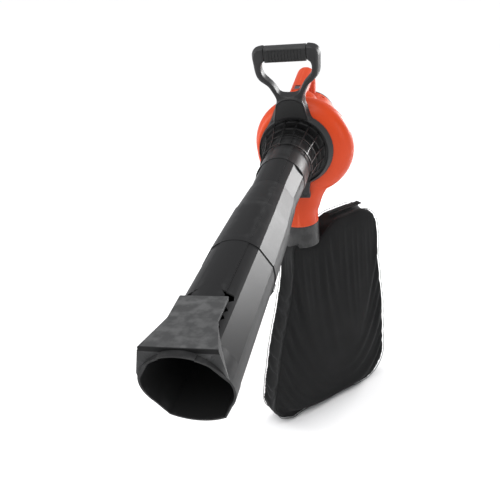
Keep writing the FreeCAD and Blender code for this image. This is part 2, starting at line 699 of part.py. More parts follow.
def facet_wire(r, strip, y, half=low_half, keel=0.0, side="line"):
    corners = facet_points(r, strip, y, half, keel, side)
    edges = []
    for i, (p, kind) in enumerate(corners):
        q = corners[(i + 1) % len(corners)][0]
        if kind == "line":
            edges.append(Part.LineSegment(p, q).toShape())
        else:
            radius = math.hypot(p.x, p.z)
            a0, a1 = math.atan2(p.z, p.x), math.atan2(q.z, q.x)
            if a1 <= a0:
                a1 += 2 * math.pi
            middle = V(radius * math.cos((a0 + a1) / 2), y, radius * math.sin((a0 + a1) / 2))
            edges.append(Part.Arc(p, middle, q).toShape())
    return Part.Wire(edges)


def facet_tube(s0, r0, s1, r1, strip, half=low_half):
    """Faceted cone between two distances forward of the intake plane."""
    return loft([facet_wire(r0, strip, -s0), facet_wire(r1, strip, -s1, half)], True)


def cone_y(s0, r0, s1, r1):
    """Cone from s0 to s1, both measured forwards of the intake plane."""
    if abs(r0 - r1) < 0.001:
        return cyl(r0, (0, -s1, 0), s1 - s0, Y_AXIS)
    return Part.makeCone(r1, r0, s1 - s0, V(0, -s1, 0), Y_AXIS)


def make_upper_tube():
    base = cone_y(-base_back_y, base_r, base_end, base_r)
    strip = facet_tube(-hub_y0 + 18, base_r - 1.5, base_end, base_r - 1.5, strip_rise + 1.5)
    strip = strip.common(box(-21, 21, -BIG, BIG, 30, 100))
    panel = facet_tube(base_end - 1, base_r - 1.0, waist_at + 1, waist_r, strip_rise)
    sleeve = facet_tube(waist_at, waist_r + 3.0, upper_end, sleeve_r, 0.6)
    spigot = cone_y(upper_end - 1, spigot_r, spigot_end, spigot_r)
    outer = base.fuse([strip, panel, sleeve, spigot])
    low_flat = math.cos(math.radians(low_half))
    panel_in = (base_r - 1.0) * low_flat - tube_wall
    waist_in = waist_r * low_flat - tube_wall
    bore = cone_y(-base_back_y - 1, base_r - tube_wall, base_end - 25, base_r - tube_wall)
    bore = bore.fuse([cone_y(base_end - 25, base_r - tube_wall, base_end - 3, panel_in),
                      cone_y(base_end - 3, panel_in, waist_at, waist_in),
                      cone_y(waist_at, waist_in, upper_end, spigot_r - tube_wall),
                      cone_y(upper_end, spigot_r - tube_wall, spigot_end + 1, spigot_r - tube_wall)])
    tube = outer.cut(bore)
    tube = tube.cut(latch_window())
    export("upper_tube", biggest(tube))


latch_angle = -38.0
latch_at = 585.0
latch_travel = 2.5


def latch_place(shape):
    """Turns a shape drawn with +X outwards at the tube's side to the latch's clock position."""
    copy = turned(shape, V(0, 0, 0), Y_AXIS, -latch_angle)
    copy.translate(V(0, -latch_at, 0))
    return copy


def latch_window():
    return latch_place(centred_box(spigot_r, 0, 0, 12, 14 + 2 * slide_gap, 10 + 2 * slide_gap))


def make_tube_latch():
    pad = centred_box(collar_r + 0.5, 0, 0, 5, 22, 16)
    pad = rounded(pad, 1.5, lambda e: e.BoundBox.XMin > collar_r + 2)
    pawl = box(spigot_r + slide_gap, collar_r, -7, 7, -5, 5)
    export("tube_latch", latch_place(pad.fuse([pawl])))


def shoe_outline(w_back, w_front, z):
    return [V(-w_back / 2, -shoe_back, z), V(-w_back / 2, -shoe_neck, z), V(-w_front / 2, -shoe_front, z),
            V(w_front / 2, -shoe_front, z), V(w_back / 2, -shoe_neck, z), V(w_back / 2, -shoe_back, z)]


def mouth_cut():
    """Everything in front of the slanted mouth plane."""
    slab = [V(-BIG, -mouth_at - mouth_slant * z, z) for z in (-200, 200)]
    points = slab + [V(-BIG, -mouth_at - 400, z) for z in (200, -200)]
    return polygon_prism(points, V(2 * BIG, 0, 0))


def nozzle_wire(s, grow, side="line"):
    """Section of the nozzle at a distance s forwards, between the collar and past the mouth."""
    share = (s - collar_end) / (mouth_at - collar_end)
    r = collar_r - 1.6 + (mouth_r - collar_r + 1.6) * share
    half = low_half + (low_half_mouth - low_half) * share
    return facet_wire(r + grow, strip_rise, -s, half, mouth_keel * share, side)


def nozzle_loft(s0, s1, grow, side="line"):
    return loft([nozzle_wire(s0, grow, side), nozzle_wire(s1, grow, side)], True)


def lower_outer(grow):
    start, past = upper_end + joint_gap, mouth_at + 60
    collar = facet_tube(start, lower_start_r + grow, collar_end, collar_r + grow, 0.6)
    body = nozzle_loft(collar_end - 1, past, grow)
    band = nozzle_loft(mouth_at - band_len, past, grow + band_proud, "arc")
    return collar.fuse([body, band])


def make_lower_tube():
    start = upper_end + joint_gap
    outer = lower_outer(0)
    bore = cone_y(start - 1, spigot_r + slide_gap, spigot_end + 4, spigot_r + slide_gap)
    bore = bore.fuse([nozzle_loft(spigot_end + 3, mouth_at + 61, -tube_wall)])
    tube = outer.cut(bore).cut(mouth_cut())
    recess = box(collar_r - 2.5 - latch_travel, collar_r + 20, -12, 12, -9, 9)
    guide = box(0, collar_r + 20, -7 - slide_gap, 7 + slide_gap, -5 - slide_gap, 5 + slide_gap)
    tube = tube.cut([latch_place(recess), latch_place(guide)])
    tube = tube.cut(nozzle_windows())
    export("lower_tube", biggest(tube))


clip_window = [(17, -30), (35, -29), (37, -17), (31.5, -8), (24, -20)]
clip_teeth = [[(30, 2), (35.5, 11), (31, 20)], [(31, 23), (35.5, 31), (30, 42)], [(29.5, 46), (35, 53), (32, 59)]]


def nozzle_windows():
    """Clip windows behind the shoe and notches beside it, the same on both sides.
    Their corners are given across from the middle and forwards of the shoe's rear edge."""
    cuts = []
    for side in (-1, 1):
        for corners in [clip_window] + clip_teeth:
            outline = [V(side * x, -shoe_back - ahead, 30) for x, ahead in corners]
            cuts.append(polygon_prism(outline, V(0, 0, 70)))
    return cuts


def make_nozzle_shoe():
    waist_z = shoe_top_z - shoe_plate
    plate = polygon_prism(shoe_outline(shoe_back_w, shoe_front_w, shoe_top_z), V(0, 0, -shoe_plate))
    low_pts = shoe_outline(shoe_back_w - 6, shoe_front_w + 2, waist_z + 0.5)
    high = Part.makePolygon(low_pts + [low_pts[0]])
    foot_pts = shoe_outline(shoe_back_w + 8, 2 * mouth_r - 4, 22)
    foot = Part.makePolygon(foot_pts + [foot_pts[0]])
    skirt = loft([high, foot], True)
    shoe = plate.fuse([skirt]).cut(lower_outer(0.15)).cut(mouth_cut())
    shoe = shoe.cut(cone_y(shoe_back - 85, mouth_r - 4, shoe_front + 90, mouth_r - 4))
    shoe = shoe.cut([box(side * 60 - 31, side * 60 + 31, -shoe_neck - 1, -shoe_back + 1, 0, waist_z - 1.5)
                     for side in (-1, 1)])
    export("nozzle_shoe", biggest(shoe))


# ---- outlet and bag ----
outlet_r = neck_r - wall - spigot_gap


def make_outlet_spigot():
    r, end_z = outlet_r, neck_end_z - spigot_len
    spigot = cyl(r, (neck_x, neck_y, end_z), spigot_len + spigot_seat, Z_AXIS)
    spigot = spigot.cut(cyl(r - outlet_wall, (neck_x, neck_y, end_z - 1), 60, Z_AXIS))
    notch = box(neck_x - neck_r - 2, neck_x - r + 5, neck_y - 5, neck_y + 5, neck_end_z - 20, neck_end_z - 12)
    export("outlet_spigot", spigot.cut(notch))


collar_top_z = neck_end_z - slide_gap
collar_r_in = outlet_r + slide_gap
collar_r_out = collar_r_in + collar_wall
button_z = neck_end_z - 16.0
button_travel = 2.5


def make_bag_collar():
    z0 = collar_top_z - collar_len
    collar = cyl(collar_r_out, (neck_x, neck_y, z0), collar_len, Z_AXIS)
    x_face = neck_x - collar_r_out
    housing = box(x_face - 3, x_face + 5, neck_y - 11, neck_y + 11, button_z - 12, button_z + 10)
    housing = rounded(housing, 2.0, lambda e: e.BoundBox.XLength > 7)
    collar = collar.fuse([housing])
    collar = collar.cut(cyl(collar_r_in, (neck_x, neck_y, z0 - 1), collar_len + 2, Z_AXIS))
    slot = box(x_face - 10, neck_x, neck_y - 6 - slide_gap, neck_y + 6 + slide_gap,
               button_z - 7 - slide_gap, button_z + 5 + slide_gap)
    export("bag_collar", collar.cut(slot))
    cap = box(x_face - 5.5, x_face - 0.2, neck_y - 6, neck_y + 6, button_z - 7, button_z + 5)
    cap = rounded(cap, 1.5, lambda e: e.BoundBox.XMax < x_face - 5)
    pawl = box(x_face - 1, neck_x - collar_r_in - 0.6, neck_y - 4, neck_y + 4, button_z - 3, button_z + 3)
    export("bag_button", cap.fuse([pawl]))


fabric_r = collar_r_out + slide_gap + bag_wall      # the sleeve of cloth round the collar
mouth_half = fabric_r + 1.0
zip_from, zip_len = mouth_half + 38.8, 112.0      # the zip's lower end, along the bag, and its length
bag_drops = [(-mouth_half, 59), (-mouth_half - 1, 87), (-74, 195), (-112, 321), (-144, 477), (-147, 542),
             (-128, 571), (-70, 576), (20, 577), (120, 577), (205, 574), (240, 539), (257, 437), (256, 297),
             (238, 128), (226, 43), (zip_from + 115, 18), (zip_from + 72, 13), (zip_from + 12, 14),
             (mouth_half + 21, 26), (mouth_half, 49),
             (0, 55)]
bag_outline = [(s, neck_end_z - drop) for s, drop in bag_drops]
bag_centre = (60.0, neck_end_z - 307.0)


def bag_frame(shape):
    """From the bag's own flat drawing (X along, Y thick) to its turned place under the collar."""
    copy = turned(shape, V(0, 0, 0), Z_AXIS, bag_turn)
    copy.translate(V(neck_x, neck_y, 0))
    return copy


def pouch(inset):
    """Puffed pouch: its outline shrinks and rounds off towards both faces."""
    wires = []
    half = bag_half - inset
    for t, pull in ((-1, 60), (-0.9, 30), (-0.62, 7), (0, 0), (0.62, 7), (0.9, 30), (1, 60)):
        points = []
        for s, z in bag_outline:
            ds, dz = s - bag_centre[0], z - bag_centre[1]
            k = 1 - (pull + inset) / math.hypot(ds, dz)
            points.append(V(bag_centre[0] + ds * k, t * half, bag_centre[1] + dz * k))
        wires.append(spline_wire(points))
    return loft(wires)


def make_bag():
    sleeve_top, sleeve_len = neck_end_z - 46.0, 81.0
    sleeve = cyl(fabric_r, (0, 0, sleeve_top - sleeve_len), sleeve_len, Z_AXIS)
    hole = cyl(fabric_r - bag_wall, (0, 0, sleeve_top - sleeve_len - 1), sleeve_len + 2, Z_AXIS)
    outer = pouch(0).fuse([sleeve])
    inner = pouch(bag_wall).fuse([hole])
    shell = outer.cut(inner)
    front = shell.common(box(-BIG, BIG, -BIG, -panel_split, -BIG, BIG))
    rear = shell.common(box(-BIG, BIG, panel_split, BIG, -BIG, BIG))
    gusset = shell.common(box(-BIG, BIG, -panel_split, panel_split, -BIG, BIG))
    export("bag_front_panel", bag_frame(biggest(front)))
    export("bag_rear_panel", bag_frame(biggest(rear)))
    export("bag_gusset", bag_frame(biggest(gusset)))


def make_zip():
    zip_z = neck_end_z - 12.0
    tape = box(zip_from, zip_from + zip_len, -11, 11, zip_z - 0.2, zip_z + 1.2)
    coil = box(zip_from + 2, zip_from + zip_len - 2, -2.5, 2.5, zip_z + 1.2, zip_z + 3.0)
    export("bag_zip", bag_frame(tape.fuse([coil])))
    slider = box(zip_from + 4, zip_from + 14, -4.5, 4.5, zip_z + 1.2 + slide_gap, zip_z + 7)
    tunnel = box(zip_from - 8, zip_from + 32, -2.5 - slide_gap, 2.5 + slide_gap, zip_z, zip_z + 3 + slide_gap)
    tab = box(zip_from + 9, zip_from + 32, -3.5, 3.5, zip_z + 5.5, zip_z + 7.5)
    export("zip_pull", bag_frame(slider.cut(tunnel).fuse([tab])))


os.makedirs("parts", exist_ok=True)
make_housing()
make_housing_screws()
make_rear_cover()
make_strap_lug()
make_mains_inlet()
make_switch()
make_motor()
make_rotor()
make_intake()
make_guard()
make_front_frame()
make_shield_panel()
make_front_grip()
make_frame_screws()
make_upper_tube()
make_tube_latch()
make_lower_tube()
make_nozzle_shoe()
make_outlet_spigot()
make_bag_collar()
make_bag()
make_zip()
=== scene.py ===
import json
import math

import bmesh
import bpy
import numpy as np
from mathutils import Matrix, Vector


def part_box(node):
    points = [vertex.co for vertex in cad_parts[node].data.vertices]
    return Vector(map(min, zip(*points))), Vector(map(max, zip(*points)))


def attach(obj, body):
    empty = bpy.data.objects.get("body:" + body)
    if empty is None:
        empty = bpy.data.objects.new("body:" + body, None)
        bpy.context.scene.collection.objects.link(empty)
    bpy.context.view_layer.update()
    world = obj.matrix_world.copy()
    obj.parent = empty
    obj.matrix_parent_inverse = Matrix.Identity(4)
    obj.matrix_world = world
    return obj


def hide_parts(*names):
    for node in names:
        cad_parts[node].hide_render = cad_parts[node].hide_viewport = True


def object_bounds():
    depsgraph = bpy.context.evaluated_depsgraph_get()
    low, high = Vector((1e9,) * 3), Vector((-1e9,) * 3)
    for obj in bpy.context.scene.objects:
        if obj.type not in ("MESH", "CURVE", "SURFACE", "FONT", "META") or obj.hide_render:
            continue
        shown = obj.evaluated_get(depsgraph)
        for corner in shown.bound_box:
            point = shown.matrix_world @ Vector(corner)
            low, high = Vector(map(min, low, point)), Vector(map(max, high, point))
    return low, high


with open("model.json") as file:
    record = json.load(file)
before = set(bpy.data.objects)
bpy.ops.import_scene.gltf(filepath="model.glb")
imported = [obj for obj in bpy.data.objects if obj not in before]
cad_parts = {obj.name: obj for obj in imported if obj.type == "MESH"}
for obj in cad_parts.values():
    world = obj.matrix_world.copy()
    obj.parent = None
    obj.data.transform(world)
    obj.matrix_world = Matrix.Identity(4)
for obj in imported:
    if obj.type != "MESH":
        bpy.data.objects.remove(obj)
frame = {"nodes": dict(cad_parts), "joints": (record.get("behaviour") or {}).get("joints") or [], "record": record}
nodes = frame["nodes"]
joints = {j["name"]: j for j in frame["joints"]}
bodies = {node: body
          for body, members in frame["record"]["behaviour"]["bodies"].items() for node in members}
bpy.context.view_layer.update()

# The fan axis is where the drawing's own millimetres start: X right, Y back, Z up.
FAN_PIVOT_Y = 0.060
FAN = Vector(joints["fan_spin"]["pos_m"]) - Vector((0, FAN_PIVOT_Y, 0))


def place(x, y, z):
    """A point in millimetres from the fan axis, in the frame's metres."""
    return FAN + Vector((x, y, z)) / 1000.0


# ---- node helpers ----
class Nodes:
    """A material's node tree, with short calls for the nodes that it uses."""

    def __init__(self, name):
        self.material = bpy.data.materials.new(name)
        self.material.use_nodes = True
        self.tree = self.material.node_tree
        self.shader = self.tree.nodes["Principled BSDF"]
        self.where = self.add("ShaderNodeTexCoord").outputs["Object"]

    def add(self, kind, **settings):
        node = self.tree.nodes.new(kind)
        for key, value in settings.items():
            setattr(node, key, value)
        return node

    def link(self, source, target):
        self.tree.links.new(source, target)

    def noise(self, scale, detail=3.0, stretch=None):
        node = self.add("ShaderNodeTexNoise")
        node.inputs["Scale"].default_value = scale
        node.inputs["Detail"].default_value = detail
        self.link(self.stretched(stretch), node.inputs["Vector"])
        return node.outputs["Fac"]

    def voronoi(self, scale):
        node = self.add("ShaderNodeTexVoronoi")
        node.inputs["Scale"].default_value = scale
        self.link(self.where, node.inputs["Vector"])
        return node.outputs["Distance"]

    def stretched(self, stretch):
        if stretch is None:
            return self.where
        node = self.add("ShaderNodeMapping")
        node.inputs["Scale"].default_value = stretch
        self.link(self.where, node.inputs["Vector"])
        return node.outputs["Vector"]

    def ramp(self, value, low, high, dark, light):
        """A colour that runs from dark to light while the value runs from low to high."""
        node = self.add("ShaderNodeValToRGB")
        node.color_ramp.elements[0].position = low
        node.color_ramp.elements[0].color = (*dark, 1)
        node.color_ramp.elements[1].position = high
        node.color_ramp.elements[1].color = (*light, 1)
        self.link(value, node.inputs["Fac"])
        return node.outputs["Color"]

    def span(self, value, low, high, to_low, to_high):
        node = self.add("ShaderNodeMapRange")
        for slot, number in zip(("From Min", "From Max", "To Min", "To Max"), (low, high, to_low, to_high)):
            node.inputs[slot].default_value = number
        self.link(value, node.inputs["Value"])
        return node.outputs["Result"]

    def mix(self, share, a, b, blend="MIX"):
        node = self.add("ShaderNodeMix", data_type="RGBA", blend_type=blend)
        colour_sockets = [s for s in node.inputs if s.type == "RGBA"]
        for socket, source in ((node.inputs[0], share), (colour_sockets[0], a), (colour_sockets[1], b)):
            if hasattr(source, "links"):
                self.link(source, socket)
            else:
                socket.default_value = source
        return [s for s in node.outputs if s.type == "RGBA"][0]

    def math(self, operation, a, b):
        node = self.add("ShaderNodeMath", operation=operation)
        for socket, source in zip(node.inputs, (a, b)):
            if hasattr(source, "links"):
                self.link(source, socket)
            else:
                socket.default_value = source
        return node.outputs[0]

    def bump(self, height, strength, distance, under=None):
        node = self.add("ShaderNodeBump")
        node.inputs["Strength"].default_value = strength
        node.inputs["Distance"].default_value = distance
        self.link(height, node.inputs["Height"])
        if under is not None:
            self.link(under, node.inputs["Normal"])
        return node.outputs["Normal"]

    def edges(self):
        """How convex the surface is, for rubbed edges."""
        return self.add("ShaderNodeNewGeometry").outputs["Pointiness"]


def moulded(name, dark, light, rough, grain=1400.0, grain_depth=0.00006, wear=None, sheen_coat=0.0, gloss=0.4,
            painted_shade_edge=None):
    """Moulded plastic: fine spark-eroded grain, faint flow marks, handling marks, rubbed edges.
    The painted shade edge is a (y, z) pair: whatever lies in front of y and above z is painted darker, as shade."""
    n = Nodes(name)
    clouds = n.noise(7.0, 2.0)
    colour = n.ramp(clouds, 0.2, 0.8, dark, light)
    specks = n.noise(620.0, 2.0)
    colour = n.mix(n.span(specks, 0.55, 0.75, 0.0, 0.35), colour, (*[c * 0.72 for c in dark], 1))
    if wear:
        rub = n.span(n.edges(), 0.53, 0.60, 0.0, 0.6)
        broken = n.math("MULTIPLY", rub, n.span(n.noise(60.0, 5.0), 0.42, 0.62, 0.2, 1.0))
        colour = n.mix(broken, colour, (*wear, 1))
    # Painted shade: what lies in front of y and above z is darkened to a quarter of the dark colour, standing for
    # the shadow on the shoe plate's front face.
    if painted_shade_edge:
        apart = n.add("ShaderNodeSeparateXYZ")
        n.link(n.where, apart.inputs[0])
        front = n.span(apart.outputs["Y"], painted_shade_edge[0] - 0.001, painted_shade_edge[0], 1.0, 0.0)
        top = n.span(apart.outputs["Z"], painted_shade_edge[1], painted_shade_edge[1] + 0.0005, 0.0, 1.0)
        colour = n.mix(n.math("MULTIPLY", front, top), colour, (*[c * 0.25 for c in dark], 1))
    n.link(colour, n.shader.inputs["Base Color"])
    smears = n.noise(22.0, 6.0, (1.0, 0.35, 1.0))
    n.link(n.span(smears, 0.3, 0.7, rough - 0.008, rough + 0.012), n.shader.inputs["Roughness"])
    flow = n.bump(n.noise(26.0, 2.0), 0.012, 0.0002)
    n.link(n.bump(n.voronoi(grain), 0.45, grain_depth, flow), n.shader.inputs["Normal"])
    n.shader.inputs["Specular IOR Level"].default_value = gloss
    n.shader.inputs["Coat Weight"].default_value = sheen_coat
    n.shader.inputs["Coat Roughness"].default_value = 0.12
    return n.material


def rubber(name, dark, light):
    n = Nodes(name)
    n.link(n.ramp(n.noise(40.0, 5.0), 0.3, 0.7, dark, light), n.shader.inputs["Base Color"])
    n.link(n.span(n.noise(90.0, 4.0), 0.3, 0.7, 0.52, 0.70), n.shader.inputs["Roughness"])
    pores = n.bump(n.voronoi(1900.0), 0.6, 0.00008)
    n.link(pores, n.shader.inputs["Normal"])
    n.shader.inputs["Sheen Weight"].default_value = 0.15
    n.shader.inputs["Sheen Roughness"].default_value = 0.5
    return n.material


def metal(name, dark, light, rough, brush=(1.0, 1.0, 1.0)):
    n = Nodes(name)
    n.link(n.ramp(n.noise(30.0, 5.0), 0.3, 0.7, dark, light), n.shader.inputs["Base Color"])
    streaks = n.noise(420.0, 3.0, brush)
    n.link(n.span(streaks, 0.3, 0.7, rough - 0.08, rough + 0.12), n.shader.inputs["Roughness"])
    n.link(n.bump(streaks, 0.25, 0.00005), n.shader.inputs["Normal"])
    n.shader.inputs["Metallic"].default_value = 1.0
    return n.material


def woven(name, dark, light, across, along, pitch):
    """Plain weave: two crossing sets of yarn, with slubs, lint and soft fading on the folds."""
    n = Nodes(name)
    yarns = []
    for direction in (across, along):
        turn = n.add("ShaderNodeVectorMath", operation="DOT_PRODUCT")
        turn.inputs[1].default_value = direction
        n.link(n.where, turn.inputs[0])
        yarns.append(n.math("SINE", n.math("MULTIPLY", turn.outputs["Value"], 2 * math.pi / pitch), 0.0))
    weave = n.math("MULTIPLY", yarns[0], yarns[1])
    slubs = n.noise(300.0, 3.0, (1.0, 1.0, 6.0))
    clouds = n.noise(14.0, 5.0)
    colour = n.ramp(clouds, 0.3, 0.72, dark, light)
    faded = n.span(n.edges(), 0.50, 0.56, 0.0, 0.5)
    colour = n.mix(faded, colour, (*[c * 1.9 for c in light], 1))
    colour = n.mix(n.span(slubs, 0.56, 0.78, 0.0, 0.4), colour, (*[c * 1.6 for c in light], 1))
    n.link(colour, n.shader.inputs["Base Color"])
    n.link(n.span(clouds, 0.3, 0.7, 0.72, 0.86), n.shader.inputs["Roughness"])
    creases = n.bump(n.noise(34.0, 6.0), 0.35, 0.0016)
    n.link(n.bump(weave, 0.5, 0.00012, creases), n.shader.inputs["Normal"])
    n.shader.inputs["Sheen Weight"].default_value = 0.03
    n.shader.inputs["Specular IOR Level"].default_value = 0.2
    n.shader.inputs["Sheen Roughness"].default_value = 0.45
    n.shader.inputs["Sheen Tint"].default_value = (0.75, 0.77, 0.80, 1)
    return n.material


BAG_TURN = math.atan2(joints["zip_slide"]["axis"][1], joints["zip_slide"]["axis"][0])
BAG_ALONG = Vector((math.cos(BAG_TURN), math.sin(BAG_TURN), 0))
BAG_ACROSS = Vector((-math.sin(BAG_TURN), math.cos(BAG_TURN), 0))

# Where painted shade is laid on the shoe plate's front face: in front of this y and above this z.
SHOE_PAINTED_SHADE_EDGE = (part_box("nozzle_shoe")[0].y + 0.0025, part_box("nozzle_shoe")[1].z - 0.0065)

finishes = {
    "orange_shell": moulded("orange_shell", (0.60, 0.052, 0.008), (0.68, 0.064, 0.011), 0.40, 1500.0, 0.00003,
                            (0.85, 0.16, 0.07), 0.05, 0.25),
    # The bezel's darker orange is painted shade: the shell's orange, darkened to stand for the shadow in the
    # switch recess.
    "orange_bezel": moulded("orange_bezel", (0.40, 0.035, 0.012), (0.48, 0.048, 0.016), 0.42, 1500.0, 0.00004,
                            (0.62, 0.10, 0.05)),
    "grey_frame": moulded("grey_frame", (0.026, 0.026, 0.0265), (0.032, 0.032, 0.0325), 0.42, 1300.0, 0.00007,
                          (0.06, 0.06, 0.06), 0.0, 0.3),
    "charcoal_panel": moulded("charcoal_panel", (0.020, 0.020, 0.020), (0.024, 0.024, 0.024), 0.52, 1100.0,
                              0.00009),
    "grip_rubber": rubber("grip_rubber", (0.006, 0.006, 0.006), (0.010, 0.010, 0.010)),
    "tube_plastic": moulded("tube_plastic", (0.022, 0.022, 0.0224), (0.026, 0.026, 0.0264), 0.34, 1300.0,
                            0.00004, (0.06, 0.06, 0.06), 0.0, 0.06),
    "shoe_plastic": moulded("shoe_plastic", (0.050, 0.0505, 0.051), (0.053, 0.0535, 0.054), 0.60, 1200.0,
                            0.00006, (0.16, 0.16, 0.16), 0.0, 0.2, SHOE_PAINTED_SHADE_EDGE),
    "black_plastic": moulded("black_plastic", (0.009, 0.009, 0.009), (0.013, 0.013, 0.0135), 0.40, 1200.0,
                             0.00007, (0.05, 0.05, 0.05)),
    "grey_button": moulded("grey_button", (0.10, 0.11, 0.13), (0.14, 0.15, 0.17), 0.45, 1400.0, 0.00005),
    "bag_cloth": woven("bag_cloth", (0.0060, 0.0062, 0.0064), (0.0085, 0.0087, 0.0089), BAG_ALONG,
                       Vector((0, 0, 1)), 0.0011),
    "zip_tape": woven("zip_tape", (0.006, 0.006, 0.006), (0.010, 0.010, 0.010), BAG_ALONG, BAG_ACROSS, 0.0009),
    "dark_metal": metal("dark_metal", (0.05, 0.05, 0.05), (0.09, 0.09, 0.09), 0.42),
    "steel": metal("steel", (0.46, 0.46, 0.47), (0.62, 0.62, 0.63), 0.26, (1.0, 0.05, 1.0)),
    "lamination": metal("lamination", (0.22, 0.22, 0.23), (0.34, 0.34, 0.35), 0.38, (0.1, 5.0, 0.1)),
    "copper": metal("copper", (0.42, 0.15, 0.06), (0.64, 0.27, 0.12), 0.30, (0.2, 3.0, 3.0)),
    "bracket_alloy": metal("bracket_alloy", (0.48, 0.48, 0.49), (0.62, 0.62, 0.63), 0.44),
    "carbon": moulded("carbon", (0.015, 0.015, 0.015), (0.04, 0.04, 0.04), 0.55, 900.0, 0.0001),
    "brass_pin": metal("brass_pin", (0.52, 0.36, 0.12), (0.72, 0.52, 0.22), 0.25),
}


def dress_nodes():
    """Every CAD node takes the finish of its own slot."""
    for part in frame["record"]["subparts"]:
        mesh = nodes[part["node"]].data
        mesh.materials.clear()
        mesh.materials.append(finishes[part["material_slot"]])


# ---- mesh helpers ----
def add_mesh(name, verts, faces, finish, smooth=True):
    mesh = bpy.data.meshes.new(name)
    mesh.from_pydata([tuple(v) for v in verts], [], faces)
    mesh.validate()
    thing = bpy.data.objects.new(name, mesh)
    bpy.context.scene.collection.objects.link(thing)
    mesh.materials.append(finishes[finish])
    for polygon in mesh.polygons:
        polygon.use_smooth = smooth
    return thing


def apply_modifiers(thing):
    """Bakes the modifiers into the object's own mesh."""
    graph = bpy.context.evaluated_depsgraph_get()
    mesh = bpy.data.meshes.new_from_object(thing.evaluated_get(graph))
    thing.modifiers.clear()
    thing.data = mesh


def coordinates(thing):
    flat = np.empty(len(thing.data.vertices) * 3)
    thing.data.vertices.foreach_get("co", flat)
    return flat.reshape(-1, 3)


def set_coordinates(thing, points):
    thing.data.vertices.foreach_set("co", np.asarray(points, float).ravel())
    thing.data.update()


def remesh(thing, size):
    """One closed skin of even cells in place of the mesh."""
    modifier = thing.modifiers.new("remesh", "REMESH")
    modifier.mode, modifier.voxel_size, modifier.use_smooth_shade = "VOXEL", size, True
    apply_modifiers(thing)


def smooth_mesh(thing, factor, repeat):
    modifier = thing.modifiers.new("smooth", "SMOOTH")
    modifier.factor, modifier.iterations = factor, repeat
    apply_modifiers(thing)


def add_tube(name, path, radius, finish, closed=False, sides=8):
    """A round cord of even thickness along a list of points."""
    verts, faces = [], []
    count = len(path)
    for i, point in enumerate(path):
        ahead = path[(i + 1) % count] if closed or i < count - 1 else point
        behind = path[i - 1] if closed or i > 0 else point
        along = (Vector(ahead) - Vector(behind)).normalized()
        first = along.cross(BAG_ACROSS)
        first = (first if first.length > 0.1 else along.cross(BAG_ALONG)).normalized()
        second = along.cross(first)
        for k in range(sides):
            a = 2 * math.pi * k / sides
            verts.append(Vector(point) + (first * math.cos(a) + second * math.sin(a)) * radius)
    for i in range(count if closed else count - 1):
        j = (i + 1) % count
        for k in range(sides):
            m = (k + 1) % sides
            faces.append((i * sides + k, i * sides + m, j * sides + m, j * sides + k))
    if not closed:
        faces.append(tuple(range(sides))[::-1])
        faces.append(tuple(range((count - 1) * sides, count * sides)))
    return add_mesh(name, verts, faces, finish)


# ---- softened mouldings ----
ROUNDING_FADE = 0.03      # height over which the extra rounding comes in
ROUNDING_PASSES = 60


def soften(node, finish, size, factor, repeat, round_above=None):
    """A replacing piece with the CAD node's shape and rounded edges, rounder still above a height."""
    piece = bpy.data.objects.new(node + "_soft", nodes[node].data.copy())
    bpy.context.scene.collection.objects.link(piece)
    piece.matrix_world = nodes[node].matrix_world.copy()
    remesh(piece, size)
    smooth_mesh(piece, factor, repeat)
    if round_above is not None:
        heights = coordinates(piece)[:, 2]
        group = piece.vertex_groups.new(name="rounded")
        for index, weight in enumerate(np.clip((heights - round_above) / ROUNDING_FADE, 0, 1)):
            if weight > 0:
                group.add([index], float(weight), "REPLACE")
        modifier = piece.modifiers.new("round", "SMOOTH")
        modifier.factor, modifier.iterations, modifier.vertex_group = 0.5, ROUNDING_PASSES, "rounded"
        apply_modifiers(piece)
    piece.data.materials.clear()
    piece.data.materials.append(finishes[finish])
    for polygon in piece.data.polygons:
        polygon.use_smooth = True
    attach(piece, bodies[node])
    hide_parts(node)


# ---- bag ----
COLLAR_LOW, COLLAR_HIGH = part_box("bag_collar")
COLLAR_R = (COLLAR_HIGH.y - COLLAR_LOW.y) / 2
COLLAR_AXIS = Vector((COLLAR_HIGH.x - COLLAR_R, (COLLAR_HIGH.y + COLLAR_LOW.y) / 2, 0))

# The sewn bag, in metres.
CLOTH_THICK = 0.0012
CLOTH_INSET = 0.004       # the cloth starts this far inside the CAD outline
CLOTH_VOXEL = 0.0062      # size of the cloth's own mesh before it is made finer
SEAM_ACROSS = 0.031       # each seam's distance from the bag's middle plane
CROWN = 0.016             # how far a panel bulges past its seam
GUSSET_HOLLOW = 0.020     # share by which the gusset pulls in between the seams
GUSSET_ROWS = (-0.022, -0.011, 0.0, 0.011, 0.022)    # where the gusset's own rows lie across the bag
CLOTH_SLACK = 0.055       # share by which the cloth is larger than its outline
SAG_FRAMES, SAG_CAP = 26, 0.016    # frames simulated, and the furthest that a point may move
SEAM_HOLD, SEAM_REACH = 0.55, 0.010    # how firmly a seam holds the cloth, and how far from it
SEAM_WIDTH, SEAM_DEPTH, PIPING_R = 0.0055, 0.0034, 0.0009    # a seam's groove, and the cord in it
FADE = 0.03               # length over which a hold on the cloth fades out
TOP_HEM = 0.045           # distance below the bag's top at which the cloth hangs freely
MOUTH_INSIDE, MOUTH_BELOW = 0.002, 0.004    # the mouth's edge, inside the collar's wall and below it


def bag_local(points):
    """Along the bag, across it, and height, from the collar's axis."""
    moved = np.asarray(points, float) - np.array(COLLAR_AXIS)
    return np.stack([moved @ np.array(BAG_ALONG), moved @ np.array(BAG_ACROSS), moved[:, 2]], axis=1)


def bag_world(points):
    """The way back from bag_local."""
    points = np.asarray(points, float)
    return (np.array(COLLAR_AXIS) + np.outer(points[:, 0], BAG_ALONG) + np.outer(points[:, 1], BAG_ACROSS)
            + np.outer(points[:, 2], (0, 0, 1)))


